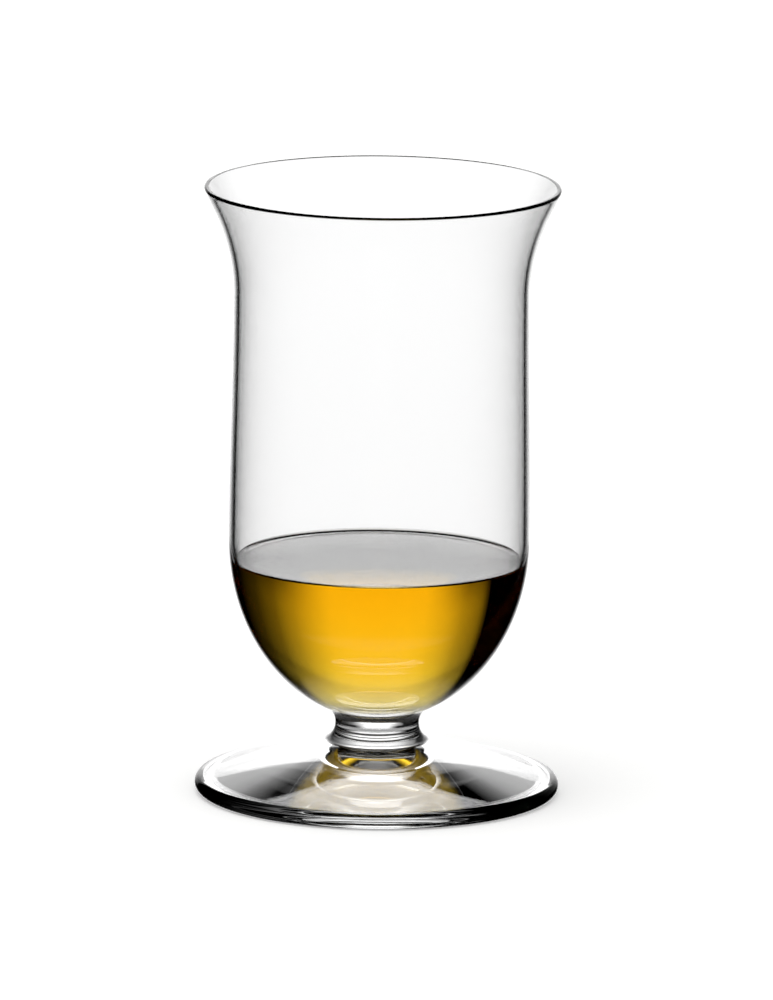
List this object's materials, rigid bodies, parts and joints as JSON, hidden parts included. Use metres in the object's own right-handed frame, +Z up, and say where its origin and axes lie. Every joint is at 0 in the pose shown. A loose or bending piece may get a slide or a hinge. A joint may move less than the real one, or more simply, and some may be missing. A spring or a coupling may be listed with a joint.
{
  "type": "whisky nosing glass",
  "caption": "Stemmed tasting glass for spirits: round-bottomed bowl with a flared lip, short waisted stem, wide foot, and a pour of whisky.",
  "frame": {"origin": "centre of the foot's standing ring, on the plane that the glass rests on", "axes": "+Z up along the glass's axis of revolution; the glass is round, so +X and +Y are any two level directions, and the picture looks along +Y with +X to the right"},
  "size_m": [0.0682, 0.0682, 0.115],
  "materials": {
    "crystal": "polished",
    "whisky": "polished"
  },
  "bodies": {
    "root": {"bowl": "crystal", "stem": "crystal", "foot": "crystal", "whisky": "whisky"}
  },
  "joints": []
}
